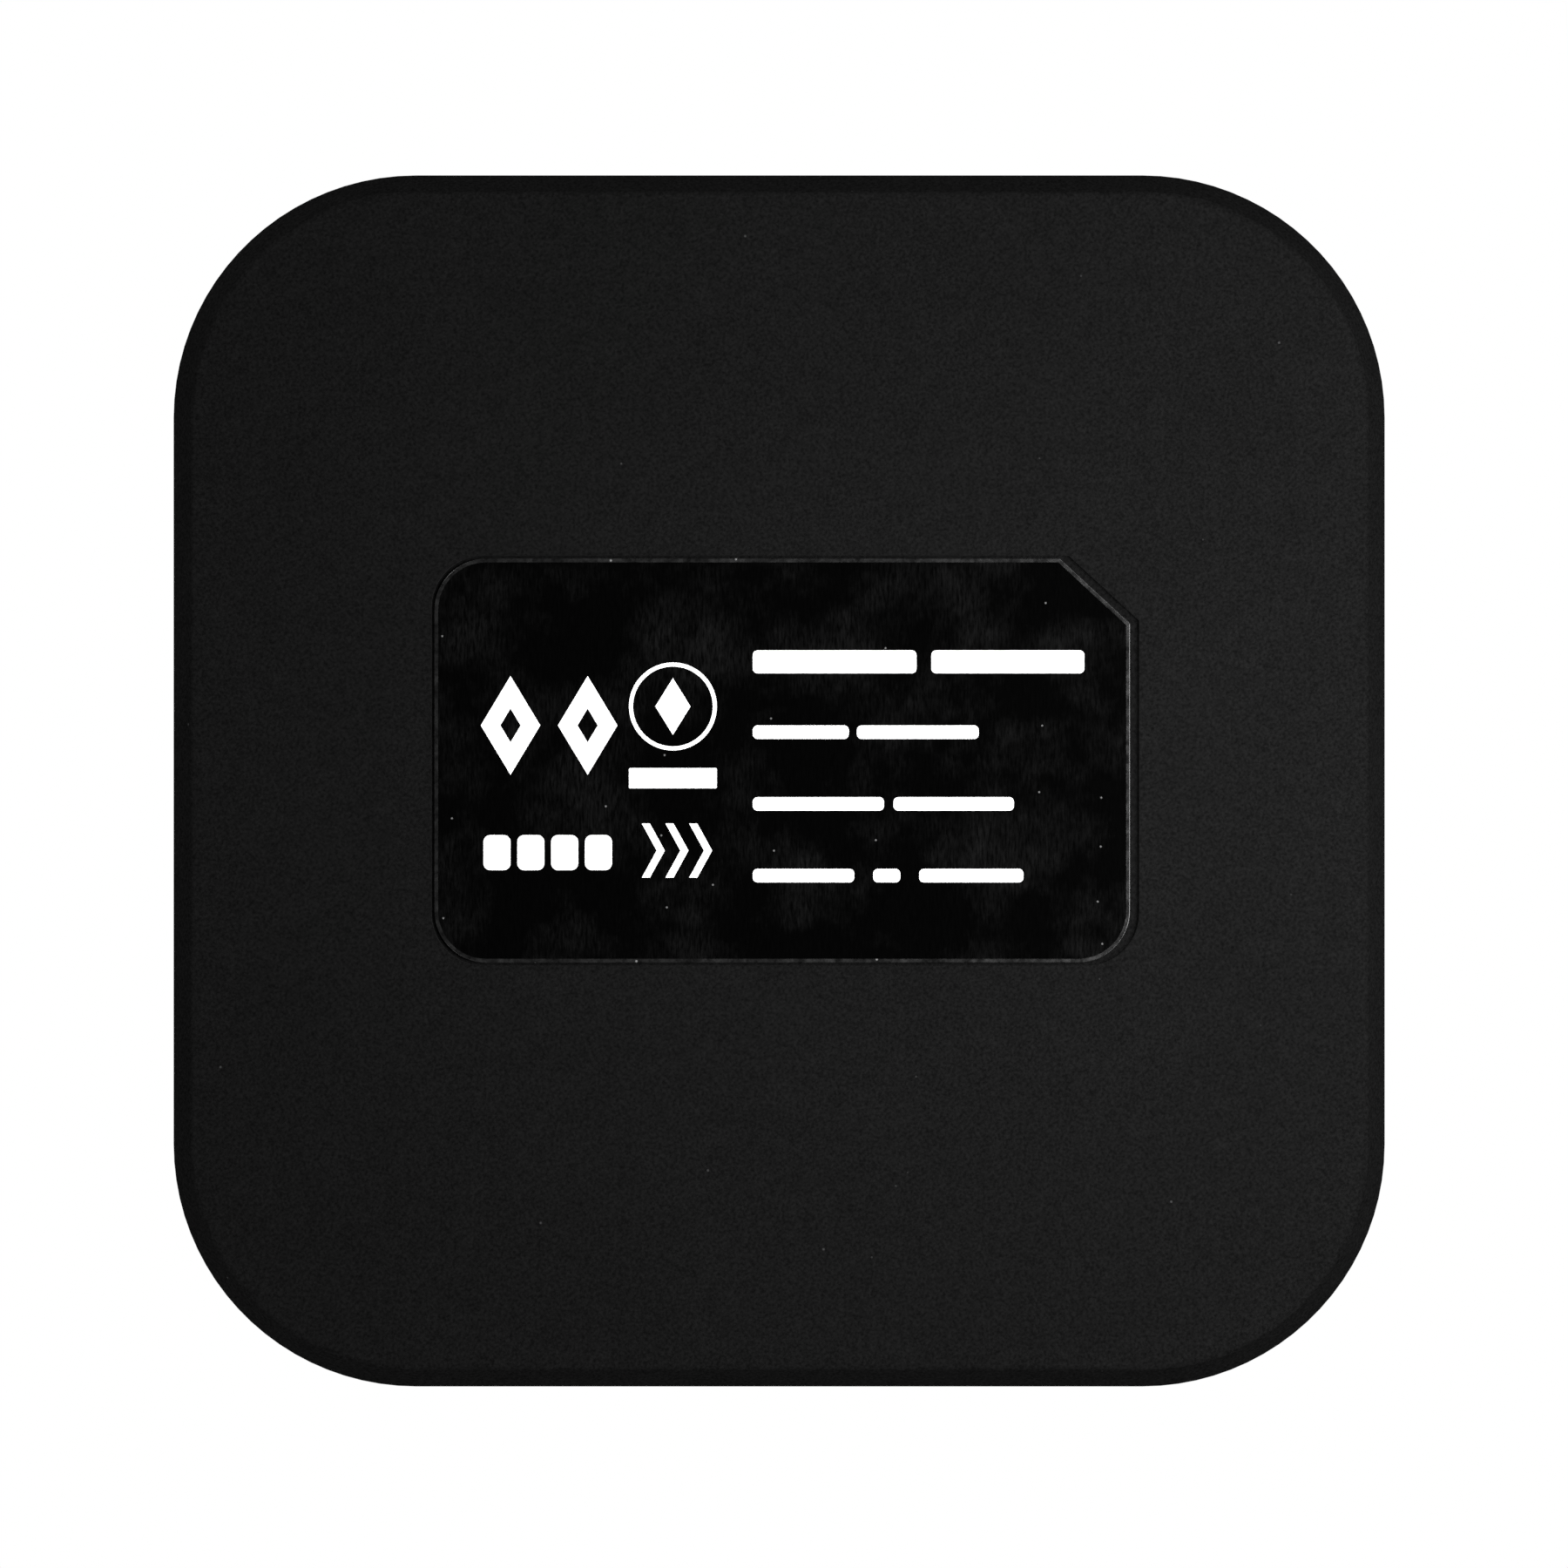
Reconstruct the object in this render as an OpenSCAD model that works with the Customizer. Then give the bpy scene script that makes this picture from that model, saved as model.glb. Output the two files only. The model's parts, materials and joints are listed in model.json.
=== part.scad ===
// Square wireless charging pad.
// +Z points out of the charging face and the pad stands on z = 0, with the origin under its centre.
// The power inlet is in the back edge (+Y) and the status lamp is in the front edge (-Y).

/* [Body] */
// Width and depth of the square body
body_w = 90; // [88:0.5:96]
// Corner radius of the body, seen from above
corner_r = 18; // [16:0.5:20]
// Height of the top face above the desk
body_h = 8.6; // [8.4:0.1:9.6]
// Rounding of the top edge
top_edge_r = 1.8; // [1:0.1:2]
// Angle from upright at which the side is drawn in towards the base
side_slant = 31; // [20:1:33]
// Height at which the slanted side ends and the side goes on upright
side_slant_top = 2.6; // [2.6:0.1:2.9]
// Height of the seam between the two covers
seam_z = 2.6; // [2.4:0.05:2.6]
// Thickness of the side wall
side_wall = 2.1; // [1.9:0.1:2.4]
// Thickness of the top wall
top_wall = 1.4; // [1.3:0.1:1.5]

/* [Base cover] */
// Thickness of the floor
base_t = 1.5; // [1.4:0.1:1.6]
// Rounding between the flat base and the drawn-in side
base_edge_r = 0.45; // [0.2:0.05:0.6]
// Distance of each snap hook from the middle of its side
hook_offset = 20; // [16:1:20]

/* [Rating label] */
// Length of the label recess
label_w = 52.3; // [46:0.1:56]
// Width of the label recess
label_d = 30.3; // [26:0.1:34]
// Corner radius of the label recess
label_r = 3.85; // [2:0.05:5]
// Depth of the label recess
label_depth = 0.4; // [0.3:0.05:0.5]
// Thickness of the label film
label_t = 0.25; // [0.1:0.05:0.3]
// Distance of the recess from the pad's middle, towards -X
label_shift_x = 0.45; // [0:0.05:2]
// Distance of the recess from the pad's middle, towards the inlet
label_shift_y = 1.5; // [0:0.1:3]

/* [Grip ring] */
// Middle radius of the silicone ring in the charging face
ring_r = 26; // [22:0.5:30]
// Width of the ring
ring_w = 2.2; // [1.6:0.1:3]
// Height of the ring above the charging face
ring_proud = 0.4; // [0.2:0.1:0.6]

/* [Coil] */
// Diameter of the stranded coil wire
wire_d = 1.1; // [0.9:0.05:1.1]
// Distance from turn to turn
coil_pitch = 1.15; // [1.12:0.01:1.2]
// Radius of the innermost turn
coil_in_r = 10.8; // [10:0.1:11]
// Number of full turns
coil_turns = 10; // [8:1:10]
// Width of the square ferrite plate
ferrite_w = 50; // [48:1:52]
// Thickness of the ferrite plate
ferrite_t = 1.3; // [1.1:0.1:1.4]

/* [Circuit board] */
// Height of the board's underside above the desk
board_z = 2.6; // [2.6:0.05:2.7]
// Thickness of the board
board_t = 1; // [0.8:0.1:1]
// Distance of the board screws from the middle, along X and along Y
screw_offset = 32; // [31:0.5:33]

/* [Hidden] */
$fn = 64;

// Clearances
slide_gap = 0.1;         // round the base cover's lip, inside the top cover
seam_gap = 0.15;         // shadow line between the two covers
glue_gap = 0.05;         // thickness of a glue film

// Plan of the body
half_w = body_w / 2;
cavity_half = half_w - side_wall;
cavity_r = corner_r - side_wall;
ceiling_z = body_h - top_wall;

// Snap hooks on the base cover
hook_w = 6;
hook_t = 1;
hook_top = 4.9;
barb_h = 0.8;
barb_out = 0.45;
lip_h = 1;               // height of the lip above the seam
lip_half = cavity_half - slide_gap;

// Label: the recess's cut-off corner and the film's place in it
label_cut_x = 5.2;
label_cut_y = 4.8;
film_gap = 0.2;          // gap on three sides of the film
film_gap_far = 0.65;     // wider gap on the -X side, where the film stops short
label_pos = [-label_shift_x, label_shift_y];

// Grip ring
groove_d = 0.8;
ring_edge_r = 0.4;

// Coil stack, hung from the ceiling
tape_t = 0.15;
coil_z = ceiling_z - tape_t - glue_gap - wire_d / 2;
half_turns = 2 * coil_turns + 1;
coil_out_r = coil_in_r + coil_turns * coil_pitch;
ferrite_top = coil_z - wire_d / 2 - glue_gap;
ferrite_z = ferrite_top - ferrite_t;
ferrite_r = 4;
slot_w = wire_d + 0.5;
lead_z = ferrite_top - ferrite_t / 2;
lead_y = 28.5;           // where both coil leads meet the board
lead_bend = 0.9;

// Circuit board
board_top = board_z + board_t;
board_half = half_w - 5;
board_r = corner_r - 4;
tab_w = 12;              // width of the tabs that carry the inlet and the lamp
tab_gap = 0.2;           // under the tabs, where the base cover's lip is cut away
inlet_tab_y = cavity_half - 0.5;
lamp_tab_y = cavity_half - 1.1;

// Board screws and their bosses
boss_d = 5;
pilot_d = 1.7;
pilot_spare = 0.3;       // depth of the pilot hole beyond the screw's tip
screw_head_d = 3.8;
screw_head_h = 0.9;
screw_head_r = 0.4;      // rounding of the head's edge
screw_len = 4;

// Power inlet
inlet_w = 7.5;
inlet_h = 2.6;
inlet_cut = 0.95;        // 45 degree cuts on the inlet's lower corners
inlet_wall = 0.25;
inlet_len = 5.5;
inlet_y = half_w - 0.3;  // the mouth sits just inside the edge
inlet_block = 1.4;
tongue_w = 3.7;
tongue_t = 0.65;
tongue_z = board_top + 1.3;
contact_w = 0.28;
contact_t = 0.12;
contact_pitch = 0.65;
tail_len = 0.8;

// Status lamp and its light guide
lamp_w = 3;
lamp_d = 1;
lamp_h = 1.5;
window_w = 6;
window_h = 1;
guide_z = board_top + lamp_h / 2;
guide_flange = 0.8;

// Packages: body sizes [x, y, z] and places [x, y] on the board
controller_size = [7, 7, 1.4];
controller_pos = [-32.5, 11];
bridge_size = [5, 4, 1.5];
bridge_pos = [[-23, 34], [-15.5, 34]];
regulator_size = [3, 1.7, 1.1];
regulator_pos = [-32.5, 1.5];
body_lift = 0.1;         // gap under a leaded package
lead_t = 0.15;
lead_reach = 1;

// Two-ended parts: sizes [x, y, z] and places [x, y]
big_cap_size = [3.2, 2.5, 1.8];
big_cap_pos = [for (row = [0:3]) [32, 24 - 4.5 * row]];
bulk_cap_size = [3.2, 1.6, 1.6];
bulk_cap_pos = [[8, 36.6], [8, 33.9], [-8, 36.6]];
sense_size = [6.3, 3.2, 0.6];
sense_pos = [[-3, 31.5]];
chip_cap_size = [1.6, 0.8, 0.8];
chip_cap_pos = concat(
    [for (row = [0:4]) [-38.4, 19 - 2 * row]],
    [for (row = [0:3]) [-27, -4 - 2 * row]],
    [for (col = [0:2]) [18 + 2.4 * col, -33]]);
chip_res_size = [1.6, 0.8, 0.5];
chip_res_pos = concat(
    [for (row = [0:5]) [-34 + 2.8 * (row % 2), -4 - 2 * floor(row / 2)]],
    [for (col = [0:3]) [-6 + 2.6 * col, -34]],
    [for (row = [0:2]) [27.5, 5 - 2 * row]]);
choke_size = [6, 6, 2.8];
choke_pos = [15, 34];
cap_end = 0.3;           // length of a plated end

// Colours
SHELL = "#1d1d1e";
FILM = "#0a0a0b";
SILICONE = "#2a2a2c";
METAL = "#b9bcc0";
BOARD = "#1e5a38";
CHIP = "#202225";
COPPER = "#b06a3a";
CERAMIC = "#a68a66";

// ---- Shared shapes ----

// Plan of a rounded rectangle
module rounded_rect(w, d, r) {
    square([w - 2 * r, d], center = true);
    square([w, d - 2 * r], center = true);
    for (x = [-1, 1], y = [-1, 1])
        translate([x * (w / 2 - r), y * (d / 2 - r)]) circle(r);
}

// Solid h high whose plan is a square with corners of radius r. The child is its section, drawn
// from a corner's axis outwards.
module square_solid(half, r, h) {
    flat = 2 * (half - r);
    translate([-flat / 2, -flat / 2, 0]) cube([flat, flat, h]);
    for (turn = [0:90:270]) rotate(turn) translate([flat / 2, flat / 2, 0]) {
        rotate_extrude(angle = 90) children();
        rotate([90, 0, 0]) linear_extrude(flat) children();
    }
}

// Square block with round corners, standing on z = 0
module rounded_block(half, r, h) {
    square_solid(half, r, h) square([r, h]);
}

// Cuboid centred on x and y, standing on z
module block(pos, z, size) {
    translate([pos[0] - size[0] / 2, pos[1] - size[1] / 2, z]) cube(size);
}

// The same child on all four sides of the pad, left and right of the middle
module on_each_side() {
    for (turn = [0:90:270], side = [-1, 1])
        rotate(turn) translate([side * hook_offset, 0, 0]) children();
}

module at_screws() {
    for (x = [-1, 1], y = [-1, 1])
        translate([x * screw_offset, y * screw_offset, 0]) children();
}

// ---- Covers ----

// Section of the body: flat base, small rounding, slanted side, upright side and round top edge
module body_section() {
    slant_reach = (side_slant_top - base_edge_r) * sin(side_slant);
    edge_x = corner_r - (base_edge_r + slant_reach) / cos(side_slant);
    polygon([[0, 0], [edge_x, 0],
        [edge_x + base_edge_r * cos(side_slant), base_edge_r * (1 - sin(side_slant))],
        [corner_r, side_slant_top], [0, side_slant_top]]);
    translate([edge_x, base_edge_r]) circle(base_edge_r);
    translate([0, side_slant_top])
        square([corner_r, body_h - top_edge_r - side_slant_top]);
    square([corner_r - top_edge_r, body_h]);
    translate([corner_r - top_edge_r, body_h - top_edge_r]) circle(top_edge_r);
}

// Whole outside of the body between two heights
module body(low_z, high_z) {
    intersection() {
        square_solid(half_w, corner_r, body_h) body_section();
        block([0, 0], low_z, [body_w + 2, body_w + 2, high_z - low_z]);
    }
}

// Plan of the label recess, or of the film when it is drawn in by the gaps
module label_plan(gap, gap_far) {
    left = -label_w / 2 + gap_far;
    right = label_w / 2 - gap;
    top = label_d / 2 - gap;
    difference() {
        translate([(left + right) / 2, 0])
            rounded_rect(right - left, 2 * top, label_r);
        polygon([[left - 1, top + 1], [left - 1, top - label_cut_y],
            [left, top - label_cut_y], [left + label_cut_x, top], [left + label_cut_x, top + 1]]);
    }
}

// Outline of the power inlet's metal, drawn in by inset, with its lower side on y = inset
module inlet_plan(inset) {
    side = inlet_w / 2 - inset;
    cut = inlet_cut - inset * (2 - sqrt(2));
    top = inlet_h - inset;
    polygon([[cut - side, inset], [side - cut, inset], [side, inset + cut],
        [side, top], [-side, top], [-side, inset + cut]]);
}

// Stretch of the inlet from y_front back over length, with the plan given by its child
module along_inlet(y_front, length) {
    translate([0, y_front, board_top]) rotate([90, 0, 0]) linear_extrude(length) children();
}

module inlet_opening() {
    gap = 0.3;
    translate([0, half_w + 1, board_top + inlet_h / 2]) rotate([90, 0, 0])
        linear_extrude(side_wall + 2) rounded_rect(inlet_w + 2 * gap, inlet_h + 2 * gap, 0.8);
}

// Upper housing: charging face, side wall, screw bosses and the catches for the snap hooks
module top_cover() {
    color(SHELL) difference() {
        union() {
            difference() {
                body(seam_z + seam_gap, body_h);
                rounded_block(cavity_half, cavity_r, ceiling_z);
            }
            at_screws() translate([0, 0, board_top]) cylinder(h = ceiling_z - board_top, d = boss_d);
            coil_fence();
        }
        at_screws() translate([0, 0, board_z]) cylinder(h = screw_len + pilot_spare, d = pilot_d);
        on_each_side() translate([-hook_w / 2 - 0.3, cavity_half - 1, hook_top - barb_h - 0.1])
            cube([hook_w + 0.6, 1 + barb_out + slide_gap, barb_h + 0.2]);
        translate([0, 0, body_h - groove_d]) rotate_extrude()
            translate([ring_r - ring_w / 2 - glue_gap, 0]) square([ring_w + 2 * glue_gap, 2]);
        inlet_opening();
        translate([0, -half_w - 1, guide_z]) rotate([-90, 0, 0])
            linear_extrude(side_wall + 2) rounded_rect(window_w, window_h, window_h / 2 - 0.01);
    }
}

// Low ring on the ceiling that centres the coil, open where the outer lead leaves
module coil_fence() {
    fence_r = coil_out_r + 1.2;
    difference() {
        translate([0, 0, ceiling_z - 0.6]) cylinder(h = 0.6, r = fence_r + 0.8);
        translate([0, 0, ceiling_z - 1]) cylinder(h = 1, r = fence_r);
        block([coil_out_r, 6], ceiling_z - 1, [8, 14, 1]);
    }
}

// Snap hook on its side of the base cover, with the barb facing outwards
module snap_hook() {
    translate([-hook_w / 2, lip_half, base_t]) rotate([90, 0, 90]) linear_extrude(hook_w)
        polygon([[-hook_t, 0], [0, 0], [0, hook_top - barb_h - base_t],
            [barb_out, hook_top - barb_h - base_t + 0.2], [0, hook_top - base_t],
            [-hook_t, hook_top - base_t]]);
}

// Shallow tray with the label recess, the locating lip, the snap hooks and the board rests
module base_cover() {
    rest_offset = 30;
    notch_d = hook_t + 2 * slide_gap;
    color(SHELL) difference() {
        union() {
            difference() {
                union() {
                    body(0, seam_z);
                    rounded_block(lip_half, cavity_r - slide_gap, seam_z + lip_h);
                }
                translate([0, 0, base_t])
                    rounded_block(lip_half - hook_t, cavity_r - slide_gap - hook_t, body_h);
                for (side = [-1, 1])
                    block([0, side * (cavity_half - notch_d / 2)], seam_z - tab_gap,
                        [tab_w + 1, notch_d, body_h]);
            }
            on_each_side() snap_hook();
            for (turn = [0:90:270]) rotate(turn)
                translate([rest_offset, 0, base_t / 2]) cylinder(h = board_z - base_t / 2, d = 4);
        }
        translate([label_pos[0], label_pos[1], -1]) linear_extrude(1 + label_depth)
            label_plan(0, 0);
    }
}

// Film label, stuck to the recess's floor
module rating_label() {
    color(FILM) translate([label_pos[0], label_pos[1], label_depth - label_t])
        linear_extrude(label_t) label_plan(film_gap, film_gap_far);
}

// Silicone ring that stands a little proud of the charging face, with a rounded top
module grip_ring() {
    ring_h = groove_d + ring_proud;
    color(SILICONE) translate([0, 0, body_h - groove_d]) rotate_extrude()
        translate([ring_r, ring_h / 2]) {
            translate([0, -ring_edge_r / 2])
                square([ring_w, ring_h - ring_edge_r], center = true);
            square([ring_w - 2 * ring_edge_r, ring_h], center = true);
            for (side = [-1, 1])
                translate([side * (ring_w / 2 - ring_edge_r), ring_h / 2 - ring_edge_r])
                    circle(ring_edge_r);
        }
}

// ---- Lamp ----

// Clear window: a nose through the front wall and a flange inside it
module light_guide() {
    color("#e8eef2") {
        translate([0, -half_w, guide_z]) rotate([-90, 0, 0]) linear_extrude(side_wall)
            rounded_rect(window_w - 0.1, window_h - 0.1, window_h / 2 - 0.06);
        block([0, -cavity_half + guide_flange / 2], guide_z - window_h,
            [window_w + 1.6, guide_flange, 2 * window_h]);
    }
}

// ---- Circuit board ----

// Plan of the board, with a tab at the back for the inlet and one at the front for the lamp
module board_plan() {
    rounded_rect(2 * board_half, 2 * board_half, board_r);
    translate([-tab_w / 2, 0]) square([tab_w, inlet_tab_y]);
    translate([-tab_w / 2, -lamp_tab_y]) square([tab_w, lamp_tab_y]);
}

module circuit_board() {
    hole_d = 2.2;
    color(BOARD) difference() {
        translate([0, 0, board_z]) linear_extrude(board_t) board_plan();
        at_screws() translate([0, 0, board_z - 1]) cylinder(h = board_t + 2, d = hole_d);
    }
}

// Section of a pan head, with its low edge rounded
module screw_head_section() {
    r = screw_head_d / 2;
    translate([0, screw_head_r]) square([r, screw_head_h - screw_head_r]);
    square([r - screw_head_r, screw_head_h]);
    translate([r - screw_head_r, screw_head_r]) circle(screw_head_r);
}

// Pan-head screws, driven upwards through the board into the bosses
module board_screws() {
    tip = 0.8;
    shank_r = pilot_d / 2 - 0.02;
    color(METAL) at_screws() translate([0, 0, board_z]) {
        difference() {
            translate([0, 0, -screw_head_h]) rotate_extrude() screw_head_section();
            for (turn = [0, 90]) rotate(turn)
                translate([-1, -0.25, -screw_head_h - 1]) cube([2, 0.5, 1.5]);
        }
        cylinder(h = screw_len - tip, r = shank_r);
        translate([0, 0, screw_len - tip]) cylinder(h = tip, r1 = shank_r, r2 = 0.2);
    }
}

// ---- Power inlet ----

// Steel tube of the inlet, with two feet on the board
module usb_shell() {
    foot = [1.2, 1.6, inlet_wall];
    color(METAL) {
        difference() {
            along_inlet(inlet_y, inlet_len) inlet_plan(0);
            along_inlet(inlet_y + 1, inlet_len + 2) inlet_plan(inlet_wall);
        }
        for (side = [-1, 1])
            block([side * (inlet_w / 2 - inlet_cut + foot[0] / 2), inlet_y - inlet_len + foot[1]],
                board_top, foot);
    }
}

// Five spring contacts: a strip under the tongue, a drop behind the shell and a foot on the board
module usb_contacts() {
    front_y = inlet_y - 1;
    rear_y = inlet_y - inlet_len - 0.3;
    color("#c9a24a") for (i = [-2:2]) translate([i * contact_pitch - contact_w / 2, 0, 0]) {
        translate([0, rear_y, tongue_z - contact_t])
            cube([contact_w, front_y - rear_y, contact_t]);
        translate([0, rear_y, board_top]) cube([contact_w, contact_t, tongue_z - board_top]);
        translate([0, rear_y - tail_len, board_top]) cube([contact_w, tail_len, contact_t]);
    }
}

// Plastic block at the back of the shell, with the tongue that carries the contacts
module usb_tongue() {
    block_front = inlet_y - inlet_len + inlet_block;
    tongue_front = inlet_y - 0.7;
    color("#18181a") difference() {
        union() {
            along_inlet(block_front, inlet_block) inlet_plan(inlet_wall);
            translate([-tongue_w / 2, block_front - 0.1, tongue_z])
                cube([tongue_w, tongue_front - block_front + 0.1, tongue_t]);
        }
        usb_contacts();
    }
}

// ---- Coil ----

// Bend of the wire in the YZ plane, from (y = r, z = 0) to (y = 0, z = r)
module wire_bend(r) {
    rotate([90, 0, 90]) rotate_extrude(angle = 90) translate([r, 0]) circle(d = wire_d);
}

// Lead that runs +Y from the origin for run, then turns down and ends at depth below
module lead_down(run, r, depth) {
    rotate([-90, 0, 0]) cylinder(h = run - r, d = wire_d);
    translate([0, run - r, -r]) wire_bend(r);
    translate([0, run, -depth]) cylinder(h = depth - r, d = wire_d);
}

// Flat spiral of half turns, each wider by half a pitch than the one before, with both leads at +Y
module transmit_coil() {
    step_r = (coil_z - lead_z) / 2;
    color(COPPER) {
        for (k = [0:half_turns - 1])
            translate([-(k % 2) * coil_pitch / 2, 0, coil_z]) rotate(180 * (k + 1))
                rotate_extrude(angle = 180) translate([coil_in_r + k * coil_pitch / 2, 0])
                    circle(d = wire_d);
        translate([-coil_in_r, 0, coil_z]) {
            translate([0, 0, -step_r]) wire_bend(step_r);
            translate([0, 2 * step_r, -step_r]) rotate([180, 0, 0]) wire_bend(step_r);
            translate([0, 2 * step_r, -2 * step_r])
                lead_down(lead_y - 2 * step_r, lead_bend, lead_z - board_top);
        }
        translate([coil_out_r, 0, coil_z])
            lead_down(lead_y, lead_bend + 0.3, coil_z - board_top);
    }
}

// Ferrite plate under the coil, slotted for the inner lead and pierced for the thermistor
module ferrite_shield() {
    pierce_d = 4;
    color("#34302e") difference() {
        translate([0, 0, ferrite_z]) linear_extrude(ferrite_t)
            rounded_rect(ferrite_w, ferrite_w, ferrite_r);
        translate([-coil_in_r - slot_w / 2, -slot_w / 2, ferrite_z - 1])
            cube([slot_w, ferrite_w, ferrite_t + 2]);
        translate([0, 0, ferrite_z - 1]) cylinder(h = ferrite_t + 2, d = pierce_d);
    }
}

// Adhesive ring between the coil and the ceiling
module coil_tape() {
    color("#d8b65a") translate([0, 0, ceiling_z - tape_t]) difference() {
        cylinder(h = tape_t, r = coil_out_r + 0.6);
        translate([0, 0, -1]) cylinder(h = tape_t + 2, r = coil_in_r - wire_d);
    }
}

// Foam blocks between the board and the ferrite
module foam_pads() {
    pad_w = 12;
    pad_pos = 18;
    color("#4a4b4f") for (x = [-1, 1], y = [-1, 1])
        block([x * pad_pos, y * pad_pos], board_top, [pad_w, pad_w, ferrite_z - board_top]);
}

// Thermistor bead in the middle of the coil, on two legs
module temperature_sensor() {
    leg_d = 0.3;
    leg_x = 0.45;
    bead_r = 0.8;
    bead_z = ferrite_top + 0.4;
    color("#8a3b22") {
        translate([0, 0, bead_z]) sphere(bead_r);
        for (side = [-1, 1])
            translate([side * leg_x, 0, board_top]) cylinder(h = bead_z - board_top, d = leg_d);
    }
}

// Cone of solder round a wire that ends on the board
module solder_cone(pos, wire, foot_r, h) {
    translate([pos[0], pos[1], board_top]) difference() {
        cylinder(h = h, r1 = foot_r, r2 = wire / 2 + 0.1);
        translate([0, 0, -1]) cylinder(h = h + 2, d = wire);
    }
}

// Solder at the two coil leads and the thermistor's legs
module solder_joints() {
    color("#c8ccd0") {
        solder_cone([-coil_in_r, lead_y], wire_d, 1.3, 0.6);
        solder_cone([coil_out_r, lead_y], wire_d, 1.3, 0.6);
        for (side = [-1, 1]) solder_cone([side * 0.45, 0], 0.3, 0.4, 0.3);
    }
}

// ---- Parts on the board ----

// Leaded package with a round mark at its first lead
module package(pos, size) {
    difference() {
        block(pos, board_top + body_lift, size);
        translate([pos[0] - size[0] / 2 + 0.8, pos[1] - size[1] / 2 + 0.8,
            board_top + body_lift + size[2] - 0.1]) cylinder(h = 1, d = 0.6);
    }
}

// Row of gull-wing leads on the side of a package that lies at distance reach_y from its middle
module lead_row(count, pitch, w, reach_y, h) {
    knee = 0.45;
    for (i = [0:count - 1])
        translate([(i - (count - 1) / 2) * pitch - w / 2, reach_y, board_top])
            rotate([90, 0, 90]) linear_extrude(w)
                polygon([[0, h], [knee, h], [knee, lead_t], [lead_reach, lead_t],
                    [lead_reach, 0], [knee - lead_t, 0], [knee - lead_t, h - lead_t],
                    [0, h - lead_t]]);
}

module controller_chip() {
    color(CHIP) package(controller_pos, controller_size);
}

module bridge_transistors() {
    color(CHIP) for (pos = bridge_pos) package(pos, bridge_size);
}

module voltage_regulator() {
    color(CHIP) package(regulator_pos, regulator_size);
}

// Leads of the controller, the two bridge packages and the regulator
module chip_leads() {
    color(METAL) {
        translate([controller_pos[0], controller_pos[1], 0]) for (turn = [0:90:270])
            rotate(turn) lead_row(8, 0.8, 0.35, controller_size[1] / 2, 0.9);
        for (pos = bridge_pos, turn = [0, 180]) translate([pos[0], pos[1], 0])
            rotate(turn) lead_row(4, 1.27, 0.42, bridge_size[1] / 2, 0.9);
        translate([regulator_pos[0], regulator_pos[1], 0]) {
            lead_row(3, 0.95, 0.35, regulator_size[1] / 2, 0.7);
            rotate(180) lead_row(2, 1.9, 0.35, regulator_size[1] / 2, 0.7);
        }
    }
}

// Bodies of two-ended parts, without their plated ends
module chip_bodies(places, size) {
    for (pos = places) block(pos, board_top, [size[0] - 2 * cap_end, size[1], size[2]]);
}

// Plated ends of two-ended parts
module chip_ends(places, size) {
    for (pos = places, side = [-1, 1])
        block([pos[0] + side * (size[0] - cap_end) / 2, pos[1]], board_top,
            [cap_end, size[1], size[2]]);
}

module resonant_capacitors() {
    color(CERAMIC) chip_bodies(big_cap_pos, big_cap_size);
}

module input_capacitors() {
    color(CERAMIC) chip_bodies(bulk_cap_pos, bulk_cap_size);
}

module small_capacitors() {
    color(CERAMIC) chip_bodies(chip_cap_pos, chip_cap_size);
}

module small_resistors() {
    color(CHIP) chip_bodies(chip_res_pos, chip_res_size);
}

module sense_resistor() {
    color(CHIP) chip_bodies(sense_pos, sense_size);
}

module end_caps() {
    color("#d4d6d9") {
        chip_ends(big_cap_pos, big_cap_size);
        chip_ends(bulk_cap_pos, bulk_cap_size);
        chip_ends(chip_cap_pos, chip_cap_size);
        chip_ends(chip_res_pos, chip_res_size);
        chip_ends(sense_pos, sense_size);
    }
}

// Shielded inductor with a round core showing in its top
module input_choke() {
    core_r = 2.3;
    color("#3a3c40") translate([choke_pos[0], choke_pos[1], board_top]) difference() {
        linear_extrude(choke_size[2]) rounded_rect(choke_size[0], choke_size[1], 0.8);
        translate([0, 0, choke_size[2] - 0.2]) difference() {
            cylinder(h = 1, r = core_r);
            translate([0, 0, -1]) cylinder(h = 3, r = core_r - 0.25);
        }
    }
}

// Side-view lamp on the front tab, against the light guide
module status_led() {
    color("#f2ecd2") block([0, -lamp_tab_y + lamp_d / 2], board_top, [lamp_w, lamp_d, lamp_h]);
}

top_cover();
base_cover();
rating_label();
grip_ring();
light_guide();
status_led();
circuit_board();
board_screws();
usb_shell();
usb_tongue();
usb_contacts();
transmit_coil();
ferrite_shield();
coil_tape();
foam_pads();
controller_chip();
bridge_transistors();
voltage_regulator();
chip_leads();
resonant_capacitors();
input_capacitors();
input_choke();
sense_resistor();
small_capacitors();
small_resistors();
end_caps();
temperature_sensor();
solder_joints();
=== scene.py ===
"""Square wireless charging pad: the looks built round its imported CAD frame.

Metres, in the CAD frame: +Z out of the charging face, +Y towards the power inlet, and the desk at
z = 0. The main camera looks up at the base from below, so +X is on the left of the picture.
"""
import json
import math

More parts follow.
